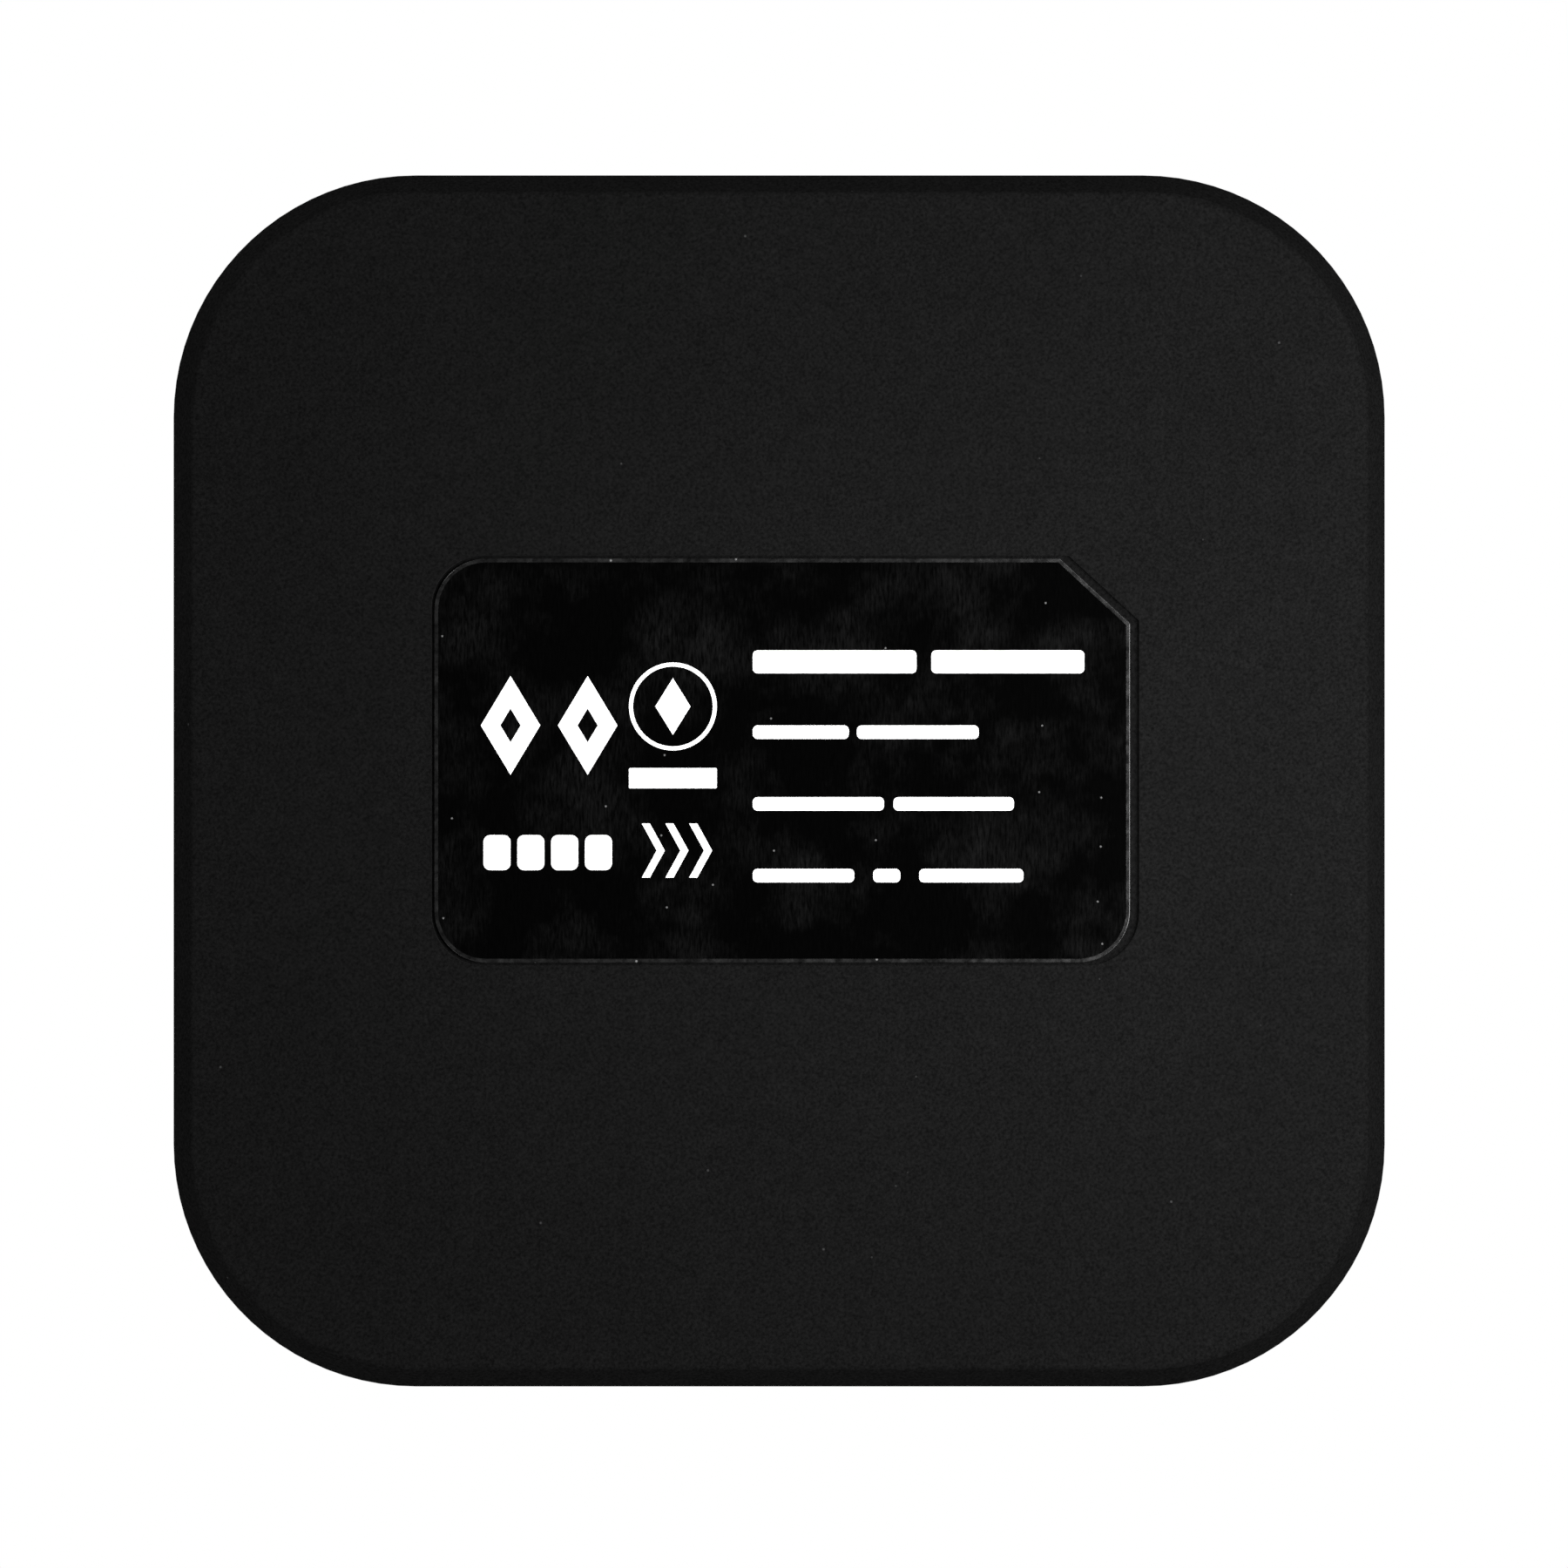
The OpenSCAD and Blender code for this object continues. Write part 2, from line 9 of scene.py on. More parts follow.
import bmesh
import bpy
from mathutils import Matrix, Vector


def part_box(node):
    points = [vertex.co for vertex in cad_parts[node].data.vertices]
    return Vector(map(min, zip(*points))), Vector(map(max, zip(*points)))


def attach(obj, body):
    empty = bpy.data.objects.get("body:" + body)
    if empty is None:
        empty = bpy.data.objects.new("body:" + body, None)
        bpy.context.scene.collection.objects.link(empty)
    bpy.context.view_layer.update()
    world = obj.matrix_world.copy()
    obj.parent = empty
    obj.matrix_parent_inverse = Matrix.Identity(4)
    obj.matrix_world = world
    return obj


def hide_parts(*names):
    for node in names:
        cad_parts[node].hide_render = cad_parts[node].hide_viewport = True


MM = 0.001
BODY = "root"

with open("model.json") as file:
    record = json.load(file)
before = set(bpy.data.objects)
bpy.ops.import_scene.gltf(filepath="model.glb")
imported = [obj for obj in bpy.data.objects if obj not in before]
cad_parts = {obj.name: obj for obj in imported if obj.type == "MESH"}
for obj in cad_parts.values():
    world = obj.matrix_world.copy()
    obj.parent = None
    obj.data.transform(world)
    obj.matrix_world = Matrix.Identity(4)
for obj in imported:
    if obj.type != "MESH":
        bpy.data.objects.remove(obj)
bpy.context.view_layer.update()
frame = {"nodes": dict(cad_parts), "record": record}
nodes = frame["nodes"]


# ---- Places taken from the frame ----

label_low, label_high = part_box("rating_label")
film_face_z = label_low.z
film_gap = 0.20 * MM                     # from the film's +X edge to the side of its recess
recess_length = 52.3 * MM
recess_x = label_high.x + film_gap - recess_length / 2
recess_y = (label_low.y + label_high.y) / 2
ink_t = 0.012 * MM


# ---- Shader helpers ----

class Shader:
    """A principled material and short calls that add texture nodes to it."""

    def __init__(self, name, color, roughness, **sockets):
        self.material = bpy.data.materials.new(name)
        self.material.use_nodes = True
        self.nodes = self.material.node_tree.nodes
        self.links = self.material.node_tree.links
        self.bsdf = self.nodes["Principled BSDF"]
        self.set("Base Color", (*color, 1.0))
        self.set("Roughness", roughness)
        for socket, value in sockets.items():
            self.set(socket.replace("_", " "), value)
        self.straight = self.nodes.new("ShaderNodeTexCoord").outputs["Object"]
        # Shifted and turned, so that no face lies along the noise's own grid
        self.place = self.node("ShaderNodeMapping", {
            "Vector": self.straight, "Location": (0.013, 0.007, 0.021),
            "Rotation": (0.5, 0.3, 0.7)}).outputs[0]

    def set(self, socket, value):
        """Sets one of the shader's own sockets to a constant."""
        self.bsdf.inputs[socket].default_value = value

    def drive(self, socket, output):
        """Links a node's output to one of the shader's own sockets."""
        self.links.new(output, self.bsdf.inputs[socket])

    def node(self, kind, inputs=(), **settings):
        """New node with its settings, and with inputs given as {name or index: value or output}."""
        made = self.nodes.new(kind)
        for key, value in settings.items():
            setattr(made, key, value)
        for key, value in dict(inputs).items():
            if isinstance(value, bpy.types.NodeSocket):
                self.links.new(value, made.inputs[key])
            else:
                made.inputs[key].default_value = value
        return made

    def upward(self):
        """How far the surface looks up: 1 on a level top, 0 on a wall and -1 underneath."""
        normal = self.node("ShaderNodeNewGeometry").outputs["Normal"]
        return self.node("ShaderNodeSeparateXYZ", {0: normal}).outputs["Z"]

    def stretched(self, x, y, z):
        """Object coordinates scaled by x, y and z."""
        return self.node("ShaderNodeMapping", {
            "Vector": self.straight, "Scale": (x, y, z)}).outputs[0]

    def noise(self, size, detail=2.0, roughness=0.5, vector=None):
        """Noise whose features are about size across."""
        return self.node("ShaderNodeTexNoise", {
            "Vector": vector or self.place, "Scale": 1.0 / size,
            "Detail": detail, "Roughness": roughness}).outputs["Fac"]

    def spread(self, value, low, high, to_low=0.0, to_high=1.0):
        """Value remapped from low..high to to_low..to_high, and clamped."""
        return self.node("ShaderNodeMapRange", {
            "Value": value, "From Min": low, "From Max": high,
            "To Min": to_low, "To Max": to_high}).outputs["Result"]

    def math(self, operation, a, b=0.0):
        """One step of arithmetic on values or outputs."""
        return self.node("ShaderNodeMath", {0: a, 1: b}, operation=operation).outputs[0]

    def blend(self, share, first, second):
        """Colour between first and second; each is an RGB triple or an output."""
        made = self.node("ShaderNodeMix", data_type="RGBA")
        for index, value in ((6, first), (7, second)):
            if isinstance(value, bpy.types.NodeSocket):
                self.links.new(value, made.inputs[index])
            else:
                made.inputs[index].default_value = (*value, 1.0)
        self.links.new(share, made.inputs[0])
        return made.outputs[2]

    def specks(self, cell, size, chance, space="3D"):
        """Mask of sparse round specks, one in some of the cells. On a level face, space is 2D."""
        cells = self.node("ShaderNodeTexVoronoi", {"Scale": 1.0 / cell}, voronoi_dimensions=space)
        self.links.new(self.place if space == "3D" else self.straight, cells.inputs["Vector"])
        near = self.spread(cells.outputs["Distance"], 0.5 * size / cell, size / cell, 1.0, 0.0)
        tone = self.node("ShaderNodeSeparateColor", {0: cells.outputs["Color"]})
        kept = self.math("LESS_THAN", tone.outputs[0], chance)
        return self.math("MULTIPLY", near, kept)

    def bump(self, height, depth, edge=0.0):
        """Relief of the given depth. Edge is how far sharp edges are rounded off."""
        made = self.node("ShaderNodeBump", {"Height": height, "Distance": depth})
        if edge:
            worn = self.node("ShaderNodeBevel", {"Radius": edge}, samples=6)
            self.links.new(worn.outputs[0], made.inputs["Normal"])
        self.drive("Normal", made.outputs[0])


def cloudy(shader, color, size, amount):
    """Base colour that drifts by amount, up and down, over patches of about size."""
    drift = shader.spread(shader.noise(size, detail=3), 0.3, 0.7)
    darker = [c * (1 - amount) for c in color]
    lighter = [c * (1 + amount) for c in color]
    return shader.blend(drift, darker, lighter)


def moulded(name, color, roughness, grain, depth, **sockets):
    """Matt moulded plastic: a fine mottled grain, faint clouds and a few pale specks of dust."""
    dust_color = (0.022, 0.022, 0.022)
    s = Shader(name, color, roughness, **sockets)
    fine = s.noise(grain, detail=3, roughness=0.6)
    mottle = s.spread(fine, 0.32, 0.68, 0.58, 1.42)
    blotches = s.spread(s.noise(1.6 * MM, detail=3, roughness=0.6), 0.3, 0.7, 0.93, 1.07)
    clouds = s.spread(s.noise(12 * MM, detail=4, roughness=0.6), 0.3, 0.7, 0.96, 1.04)
    shade = s.math("MULTIPLY", mottle, s.math("MULTIPLY", blotches, clouds))
    tone = s.node("ShaderNodeVectorMath", {0: color, "Scale": shade}, operation="SCALE").outputs[0]
    dust = s.specks(cell=1.2 * MM, size=0.12 * MM, chance=0.04)
    s.drive("Base Color", s.blend(dust, tone, dust_color))
    wear = s.noise(5 * MM, detail=4, roughness=0.6)
    s.drive("Roughness", s.spread(wear, 0.3, 0.7, roughness - 0.03, roughness + 0.03))
    s.bump(fine, depth, edge=0.08 * MM)
    return s


def base_coating(name):
    """Soft coating of the base: dead matt where it looks down, with a slight sheen upright."""
    sheen = 0.20
    s = moulded(name, (0.0038, 0.0038, 0.0038), roughness=0.62, grain=0.22 * MM, depth=0.007 * MM,
                Specular_IOR_Level=sheen / 2)
    s.drive("Specular IOR Level", s.spread(s.upward(), -0.32, -0.08, 0.0, sheen))
    return s.material


def film(name):
    """Glossy black label film with fine streaks across its length, smears and specks of dust."""
    clean, hazy, dust_color = (0.0001,) * 3, (0.0026,) * 3, (0.05,) * 3
    s = Shader(name, (0.0005, 0.0005, 0.0005), 0.10, Specular_IOR_Level=0.25)
    streaks = s.noise(0.17 * MM, detail=3, roughness=0.7, vector=s.stretched(1.0, 0.16, 1.0))
    patches = s.noise(7 * MM, detail=5, roughness=0.6)
    smears = s.spread(patches, 0.46, 0.72, 0.06, 1.0)
    haze = s.math("MULTIPLY", smears, s.spread(streaks, 0.36, 0.68))
    dust = s.specks(cell=4 * MM, size=0.09 * MM, chance=0.25, space="2D")
    s.drive("Base Color", s.blend(dust, s.blend(haze, clean, hazy), dust_color))
    s.drive("Roughness", s.spread(patches, 0.50, 0.75, 0.08, 0.16))
    s.bump(s.noise(3 * MM, detail=2), depth=0.001 * MM)
    return s.material


def film_edge(name):
    """Clear, scuffed margin and cut edge of the label film."""
    dust_color = (0.06,) * 3
    s = Shader(name, (0.004,) * 3, 0.22, Specular_IOR_Level=0.2)
    level = s.math("ABSOLUTE", s.upward())
    cut = s.spread(level, 0.6, 0.97, 1.0, 0.0)
    scuffs = s.spread(s.noise(0.8 * MM, detail=4, roughness=0.7), 0.35, 0.65)
    margin = s.blend(scuffs, (0.0012,) * 3, (0.0040,) * 3)
    ragged = s.blend(scuffs, (0.002,) * 3, (0.011,) * 3)
    dust = s.specks(cell=1.5 * MM, size=0.11 * MM, chance=0.3, space="2D")
    s.drive("Base Color", s.blend(dust, s.blend(cut, margin, ragged), dust_color))
    s.drive("Roughness", s.spread(scuffs, 0.0, 1.0, 0.16, 0.30))
    s.bump(s.noise(0.5 * MM, detail=3), depth=0.004 * MM)
    return s.material


def plain(name, color, roughness, **sockets):
    """Small part: a drifting colour, an uneven gloss and a light grain."""
    s = Shader(name, color, roughness, **sockets)
    s.drive("Base Color", cloudy(s, color, size=2 * MM, amount=0.12))
    uneven = s.noise(0.8 * MM, detail=3)
    s.drive("Roughness", s.spread(uneven, 0.3, 0.7, roughness - 0.07, roughness + 0.07))
    s.bump(s.noise(0.4 * MM, detail=2), depth=0.004 * MM)
    return s.material


def laminate(name):
    """Green solder mask over bundles of straight copper traces, with small covered vias."""
    pitch = 0.7 * MM
    block = (7 * MM, 5 * MM, 5 * MM)
    mask_color, trace_color = (0.010, 0.085, 0.030), (0.017, 0.125, 0.045)
    via_color = (0.05, 0.20, 0.08)
    s = Shader(name, (0.012, 0.10, 0.035), 0.3)
    axes = s.node("ShaderNodeSeparateXYZ", {0: s.straight})
    blocks = s.node("ShaderNodeVectorMath", {0: s.straight, 1: block}, operation="SNAP")
    choice = s.node("ShaderNodeTexWhiteNoise", {"Vector": blocks.outputs[0]}).outputs["Value"]

    def lines(axis, low, high):
        """Parallel traces across one axis, in the blocks whose choice lies between low and high."""
        across = s.math("FRACT", s.math("DIVIDE", axes.outputs[axis], pitch))
        off_middle = s.math("ABSOLUTE", s.math("SUBTRACT", across, 0.5))
        line = s.spread(off_middle, 0.17, 0.22, 1.0, 0.0)
        over, under = s.math("GREATER_THAN", choice, low), s.math("LESS_THAN", choice, high)
        return s.math("MULTIPLY", line, s.math("MULTIPLY", over, under))

    traces = s.math("MAXIMUM", lines("X", 0.0, 0.35), lines("Y", 0.45, 0.80))
    vias = s.specks(cell=2.6 * MM, size=0.45 * MM, chance=0.35, space="2D")
    mask = cloudy(s, mask_color, size=3 * MM, amount=0.15)
    lined = s.blend(traces, mask, trace_color)
    s.drive("Base Color", s.blend(vias, lined, via_color))
    s.drive("Roughness", s.spread(s.noise(0.5 * MM, detail=3), 0.3, 0.7, 0.22, 0.36))
    s.bump(s.math("MAXIMUM", traces, vias), depth=0.01 * MM)
    return s.material


def brushed(name, color, roughness):
    """Metal sheet with fine straight drawing lines and dull patches."""
    s = Shader(name, color, roughness, Metallic=1.0)
    lines = s.noise(0.06 * MM, detail=3, vector=s.stretched(0.05, 1.0, 1.0))
    patches = s.noise(1.2 * MM, detail=3)
    s.drive("Base Color", cloudy(s, color, size=1.5 * MM, amount=0.15))
    mixed = s.math("ADD", s.math("MULTIPLY", lines, 0.7), s.math("MULTIPLY", patches, 0.3))
    s.drive("Roughness", s.spread(mixed, 0.35, 0.65, roughness - 0.10, roughness + 0.12))
    s.bump(lines, depth=0.002 * MM)
    return s.material


def stranded(name, color):
    """Stranded copper wire: fine strands, with painted shade darkening the gaps between them."""
    s = Shader(name, color, 0.35, Metallic=1.0)
    strands = s.noise(0.09 * MM, detail=2, roughness=0.4)
    # Painted shade: where the strand noise is low, in the gaps between strands, the copper is drawn
    # darker.
    dark = [0.45 * c for c in color]
    s.drive("Base Color", s.blend(s.spread(strands, 0.35, 0.6), dark, color))
    s.drive("Roughness", s.spread(strands, 0.3, 0.7, 0.45, 0.28))
    s.bump(strands, depth=0.03 * MM)
    return s.material


def porous(name, color, pore, depth):
    """Foam or sintered material with round pores, darkened inside with painted shade."""
    s = Shader(name, color, 0.9)
    cells = s.node("ShaderNodeTexVoronoi", {"Vector": s.place, "Scale": 1.0 / pore})
    wall = s.spread(cells.outputs["Distance"], 0.15, 0.6)
    # Painted shade: the colour falls towards each pore's middle, where the pore is deepest.
    dark = [0.4 * c for c in color]
    s.drive("Base Color", s.blend(wall, dark, color))
    s.drive("Roughness", s.spread(s.noise(2 * MM, detail=3), 0.3, 0.7, 0.75, 0.95))
    s.bump(wall, depth)
    return s.material


def shell_plastic(name):
    """Matt plastic of the top cover."""
    return moulded(name, (0.0060, 0.0060, 0.0062), roughness=0.62, grain=0.25 * MM,
                   depth=0.008 * MM, Specular_IOR_Level=0.20).material


def silicone(name):
    """Soft ring in the charging face, duller than the cover round it."""
    return moulded(name, (0.009, 0.009, 0.010), roughness=0.70, grain=0.20 * MM,
                   depth=0.006 * MM, Specular_IOR_Level=0.30).material


# What makes the material of each slot in the record
MATERIALS = {
    "shell_plastic": shell_plastic,
    "base_coating": base_coating,
    "label_film": film,
    "silicone": silicone,
    "clear_plastic": lambda n: plain(n, (0.8, 0.82, 0.84), 0.35, Transmission_Weight=0.8),
    "lamp_resin": lambda n: plain(n, (0.86, 0.78, 0.42), 0.3),
    "board_laminate": laminate,
    "screw_steel": lambda n: brushed(n, (0.5, 0.5, 0.52), 0.32),
    "inlet_steel": lambda n: brushed(n, (0.55, 0.55, 0.56), 0.28),
    "inlet_plastic": lambda n: plain(n, (0.012, 0.012, 0.012), 0.5),
    "contact_gold": lambda n: plain(n, (0.83, 0.58, 0.22), 0.25, Metallic=1.0),
    "copper_wire": lambda n: stranded(n, (0.70, 0.28, 0.12)),
    "ferrite": lambda n: porous(n, (0.035, 0.031, 0.030), pore=0.25 * MM, depth=0.008 * MM),
    "adhesive_tape": lambda n: plain(n, (0.62, 0.40, 0.10), 0.3),
    "foam": lambda n: porous(n, (0.05, 0.05, 0.055), pore=0.5 * MM, depth=0.12 * MM),
    "chip_epoxy": lambda n: plain(n, (0.014, 0.014, 0.016), 0.55),
    "tinned_metal": lambda n: brushed(n, (0.66, 0.66, 0.67), 0.3),
    "capacitor_ceramic": lambda n: plain(n, (0.38, 0.24, 0.12), 0.55),
    "resistor_ceramic": lambda n: plain(n, (0.02, 0.02, 0.022), 0.35),
    "choke_ferrite": lambda n: plain(n, (0.045, 0.046, 0.05), 0.55),
    "thermistor_epoxy": lambda n: plain(n, (0.28, 0.05, 0.02), 0.2),
    "solder": lambda n: plain(n, (0.68, 0.68, 0.70), 0.24, Metallic=1.0),
}


# ---- Pieces that stand for CAD nodes ----

def dress(piece, material):
    """Gives a piece one material and no other."""
    piece.data.materials.clear()
    piece.data.materials.append(material)


def underside(faces, area):
    """The largest face that looks down. Area is a function that measures a face."""
    return max(faces, key=lambda face: -face.normal.z * area(face))


def softened(node, name, width, margin=0.0):
    """Copy of a CAD node with every hard edge rounded to width. It replaces the node.

    With a margin, its underside gets a border strip of that width.
    """
    weld = 0.0005 * MM
    flat = math.radians(0.3)
    hard = math.radians(35)
    mesh = nodes[node].data.copy()
    mesh.name = name
    shape = bmesh.new()
    shape.from_mesh(mesh)
    bmesh.ops.remove_doubles(shape, verts=shape.verts, dist=weld)
    bmesh.ops.dissolve_limit(shape, angle_limit=flat, verts=shape.verts, edges=shape.edges)
    if margin:
        face = underside(shape.faces, lambda each: each.calc_area())
        bmesh.ops.inset_region(shape, faces=[face], thickness=margin, use_even_offset=True)
    shape.to_mesh(mesh)
    shape.free()
    piece = bpy.data.objects.new(name, mesh)
    bpy.context.scene.collection.objects.link(piece)
    bevel = piece.modifiers.new("rounding", "BEVEL")
    bevel.width = width
    bevel.segments = 2
    bevel.limit_method = "ANGLE"
    bevel.angle_limit = hard
    bevel.harden_normals = True
    mesh.shade_smooth()
    mesh.set_sharp_from_angle(angle=hard)
    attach(piece, BODY)
    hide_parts(node)
    return piece


# ---- Label print ----

def sheet_of_ink(shape, outline, hole=None):
    """Adds a flat sheet on the film.

    Outline and hole are points: mm to the right and up from the recess's middle, seen from below.
    """
    z = film_face_z - ink_t

    def loop(points):
        verts = [shape.verts.new((recess_x - u * MM, recess_y + v * MM, z)) for u, v in points]
        return [shape.edges.new((verts[i - 1], verts[i])) for i in range(len(verts))]

    edges = loop(outline) + (loop(hole) if hole else [])
    bmesh.ops.triangle_fill(shape, edges=edges, use_beauty=True, normal=(0, 0, -1))


def rounded(u, v, width, height, r, steps=6):
    """Outline of a rounded rectangle with its middle at (u, v), and each corner drawn in steps."""
    points = []
    for turn, (x, y) in enumerate(((1, 1), (-1, 1), (-1, -1), (1, -1))):
        for i in range(steps + 1):
            a = math.radians(90 * (turn + i / steps))
            points.append((u + x * (width / 2 - r) + r * math.cos(a),
                           v + y * (height / 2 - r) + r * math.sin(a)))
    return points


def circle(u, v, diameter):
    """Outline of a circle with its middle at (u, v). Its quarters end a hair apart."""
    hair = 0.001
    return rounded(u, v, diameter, diameter, diameter / 2 - hair, steps=16)


def lozenge(u, v, width, height):
    """Outline of an upright diamond with its middle at (u, v)."""
    return [(u, v + height / 2), (u - width / 2, v), (u, v - height / 2), (u + width / 2, v)]


def chevron(u, v, width, height, stroke):
    """Outline of a chevron that points right. Its left end is at u, and its middle at height v."""
    return [(u, v + height / 2), (u + stroke, v + height / 2), (u + width, v),
            (u + stroke, v - height / 2), (u, v - height / 2), (u + width - stroke, v)]


def print_marks(shape):
    """Plain marks on the left: two diamonds, a ringed diamond over a bar, blocks and chevrons."""
    for u in (-20.3, -14.6):
        sheet_of_ink(shape, lozenge(u, 2.6, width=4.4, height=7.3),
                     hole=lozenge(u, 2.6, width=1.5, height=2.5))
    ring_u, ring_v, ring_d, ring_stroke = -8.3, 4.0, 6.5, 0.3
    sheet_of_ink(shape, circle(ring_u, ring_v, ring_d),
                 hole=circle(ring_u, ring_v, ring_d - 2 * ring_stroke))
    sheet_of_ink(shape, lozenge(ring_u, ring_v, width=2.6, height=4.2))
    sheet_of_ink(shape, rounded(ring_u, -1.3, width=ring_d, height=1.5, r=0.1))
    block_pitch, chevron_pitch = 2.5, 1.75
    for i in range(4):
        sheet_of_ink(shape, rounded(-21.3 + block_pitch * i, -6.8, width=2.0, height=2.6, r=0.5))
    for i in range(3):
        sheet_of_ink(shape, chevron(-10.6 + chevron_pitch * i, -6.65, width=1.7, height=4.0,
                                    stroke=0.6))


def print_lines(shape):
    """Four lines of bars in the right half, each a height and its bars' starts and widths."""
    left = -2.4
    corner_r = 0.35
    lines = (
        (7.3, 1.7, ((0, 12.1), (13.2, 11.3))),
        (2.1, 1.0, ((0, 7.1), (7.7, 9.0))),
        (-3.2, 1.0, ((0, 9.7), (10.4, 8.9))),
        (-8.5, 1.0, ((0, 7.5), (8.9, 2.0), (12.3, 7.7))),
    )
    for v, height, bars in lines:
        for start, width in bars:
            middle = left + start + width / 2
            sheet_of_ink(shape, rounded(middle, v, width, height, corner_r))


def white_ink():
    """Matt white ink, worn a little uneven."""
    s = Shader("white_ink", (0.66,) * 3, 0.5)
    worn = s.spread(s.noise(0.35 * MM, detail=3), 0.25, 0.6)
    s.drive("Base Color", s.blend(worn, (0.62,) * 3, (0.70,) * 3))
    s.bump(s.noise(0.2 * MM), depth=0.004 * MM)
    return s.material


def label_print():
    """White print on the film, as thin solid sheets of ink."""
    shape = bmesh.new()
    print_marks(shape)
    print_lines(shape)
    bmesh.ops.recalc_face_normals(shape, faces=shape.faces)
    mesh = bpy.data.meshes.new("label_print")
    shape.to_mesh(mesh)
    shape.free()
    piece = bpy.data.objects.new("label_print", mesh)
    bpy.context.scene.collection.objects.link(piece)
    depth = piece.modifiers.new("ink", "SOLIDIFY")
    depth.thickness = ink_t
    depth.offset = -1
    dress(piece, white_ink())
    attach(piece, BODY)
    return piece


# ---- Stage ----

def studio_light(name, place, size, power, linked=None):
    """Square soft light that faces the pad. Linked, if given, says which pieces it lights."""
    data = bpy.data.lights.new(name, "AREA")
    data.shape = "SQUARE"
    data.size = size
    data.energy = power
    lamp = bpy.data.objects.new(name, data)
    bpy.context.scene.collection.objects.link(lamp)
    lamp.location = place
    lamp.rotation_euler = (-Vector(place)).to_track_quat("-Z", "Y").to_euler()
    if linked:
        lamp.light_linking.receiver_collection = linked
    return lamp


def link_group(name, pieces, state):
    """Collection that tells a light to light these pieces only, or to leave them out."""
    group = bpy.data.collections.new(name)
    for piece in pieces:
        group.objects.link(piece)
    for row in group.collection_objects:
        row.light_linking.link_state = state
    return group


def around(turn, tilt, reach):
    """Point at a distance from the origin, tilted from straight down towards a compass turn."""
    turn, tilt = math.radians(turn), math.radians(tilt)
    return (reach * math.sin(tilt) * math.cos(turn), reach * math.sin(tilt) * math.sin(turn),
            -reach * math.cos(tilt))


def light_base(tray, ink):
    """One key light close under the pad, kept out of the picture, and four low ones round it."""
    base = link_group("base_only", (tray, ink), "INCLUDE")
    key = studio_light("base_key", around(176, tilt=36, reach=0.11), size=0.08, power=0.385,
                       linked=base)
    key.visible_camera = False
    for turn, power in ((0, 1.35), (90, 1.35), (225, 0.35), (270, 1.15)):
        low = around(turn, tilt=75, reach=0.40)
        studio_light(f"base_low_{turn}", low, size=0.20, power=power, linked=base)


def light_film(sheet):
    """A key light for the label film, and four small ones that glint along its edges."""
    film_only = link_group("film_only", (sheet,), "INCLUDE")
    studio_light("film_key", around(178, tilt=39, reach=0.205), size=0.12, power=2.40,
                 linked=film_only)
    for turn, power in ((45, 0.35), (135, 0.15), (225, 0.18), (315, 0.15)):
        corner = around(turn, tilt=42, reach=0.30)
        studio_light(f"film_glint_{turn}", corner, size=0.05, power=power, linked=film_only)


def light_rest(tray, sheet, ink):
    """Four soft lights above for all but the base's pieces, and four at the sides for all."""
    not_base = link_group("not_base", (tray, sheet, ink), "EXCLUDE")
    for i, power in enumerate((3.5, 2.8, 2.8, 2.8)):
        above = around(-70 + 90 * i, tilt=140.7, reach=0.71)
        beside = around(10 + 90 * i, tilt=70, reach=0.50)
        studio_light(f"top_soft_{i}", above, size=0.40, power=power, linked=not_base)
        studio_light(f"wall_soft_{i}", beside, size=0.30, power=0.35)


def studio_world():
    """White behind the object, and dim for all other rays."""
    white = (1, 1, 1, 1)
    world = bpy.data.worlds.new("studio")
    world.use_nodes = True
    tree = world.node_tree
    seen = tree.nodes["Background"]
    seen.inputs["Color"].default_value = white
    dim = tree.nodes.new("ShaderNodeBackground")
    dim.inputs["Color"].default_value = white
    dim.inputs["Strength"].default_value = 0.03
    mix = tree.nodes.new("ShaderNodeMixShader")
    path = tree.nodes.new("ShaderNodeLightPath")
    tree.links.new(path.outputs["Is Camera Ray"], mix.inputs[0])
    tree.links.new(dim.outputs[0], mix.inputs[1])
    tree.links.new(seen.outputs[0], mix.inputs[2])
    tree.links.new(mix.outputs[0], tree.nodes["World Output"].inputs["Surface"])
    bpy.context.scene.world = world


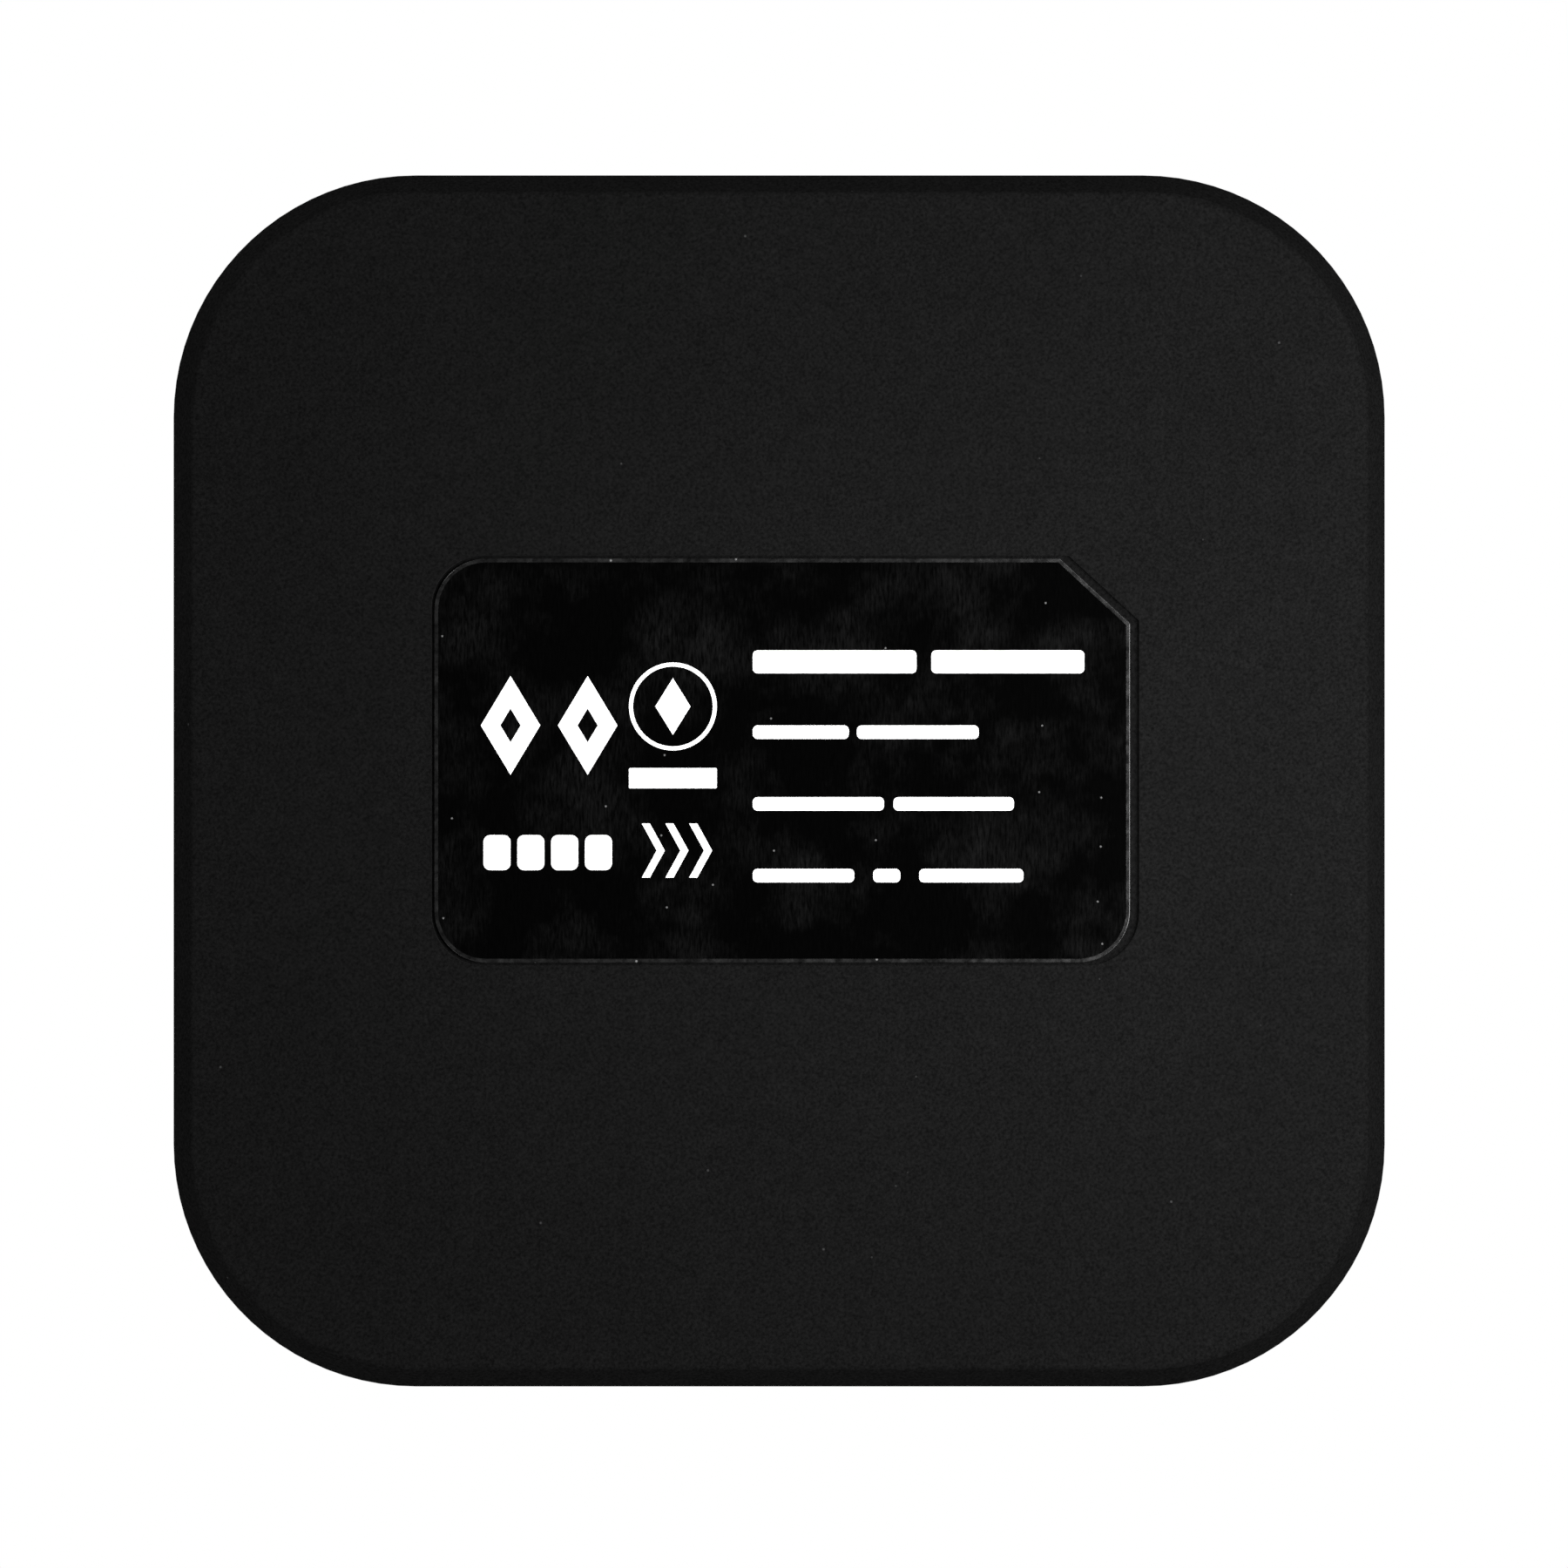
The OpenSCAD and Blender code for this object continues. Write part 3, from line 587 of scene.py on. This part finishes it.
def pale_floor():
    """Desk top just under z = 0 that fades out with distance. It is seen from above only."""
    reach = 0.6
    gap = 0.02 * MM
    bpy.ops.mesh.primitive_circle_add(vertices=96, radius=reach, fill_type="TRIFAN",
                                      location=(0, 0, -gap))
    floor = bpy.context.object
    floor.name = "floor"
    s = Shader("pale_floor", (0.80,) * 3, 0.6)
    s.bump(s.noise(2 * MM, detail=3), depth=0.02 * MM)
    distance = s.node("ShaderNodeVectorMath", {0: s.straight}, operation="LENGTH").outputs["Value"]
    faded = s.spread(distance, 0.2 * reach, 0.95 * reach)
    below = s.node("ShaderNodeNewGeometry").outputs["Backfacing"]
    hidden = s.math("MAXIMUM", faded, below)
    clear = s.node("ShaderNodeBsdfTransparent")
    mix = s.node("ShaderNodeMixShader", {0: hidden, 1: s.bsdf.outputs[0], 2: clear.outputs[0]})
    s.links.new(mix.outputs[0], s.nodes["Material Output"].inputs["Surface"])
    dress(floor, s.material)
    for ray in ("diffuse", "glossy", "transmission", "shadow", "volume_scatter"):
        setattr(floor, "visible_" + ray, False)


def main_camera():
    """Looks straight up at the base from below, with the pad a little off the picture's middle."""
    view_width = 116.53 * MM             # at the height of the pad's widest line
    rim_z = 2.6 * MM
    aside_x, aside_y = -0.36 * MM, -0.23 * MM
    lens = 135.0
    sensor = 36.0
    data = bpy.data.cameras.new("camera")
    data.lens = lens
    data.sensor_width = sensor
    data.clip_start = 0.01
    camera = bpy.data.objects.new("camera", data)
    bpy.context.scene.collection.objects.link(camera)
    camera.location = (aside_x, aside_y, rim_z - view_width * lens / sensor)
    camera.rotation_euler = (0, math.pi, 0)
    bpy.context.scene.camera = camera


def dress_frame():
    """Gives every CAD node its slot's material, and swaps small outer parts for softened copies.

    Returns the two pieces that show on the base: its cover and its label film.
    """
    made = {slot: make(slot) for slot, make in MATERIALS.items()}
    slots = {row["node"]: row["material_slot"] for row in frame["record"]["subparts"]}
    for node, piece in nodes.items():
        dress(piece, made[slots[node]])
    for node, name, width in (("light_guide", "lamp_window", 0.05 * MM),
                              ("usb_shell", "inlet_shell", 0.04 * MM)):
        piece = softened(node, name, width)
        dress(piece, made[slots[node]])
    sheet = softened("rating_label", "label_sheet", 0.07 * MM, margin=0.30 * MM)
    dress(sheet, made["label_film"])
    sheet.data.materials.append(film_edge("film_edge"))
    middle = underside(sheet.data.polygons, lambda each: each.area)
    for face in sheet.data.polygons:
        face.material_index = 0 if face == middle else 1
    return nodes["base_cover"], sheet


tray, sheet = dress_frame()
ink = label_print()
studio_world()
pale_floor()
main_camera()
light_base(tray, ink)
light_film(sheet)
light_rest(tray, sheet, ink)
bpy.context.scene.view_settings.view_transform = "Standard"
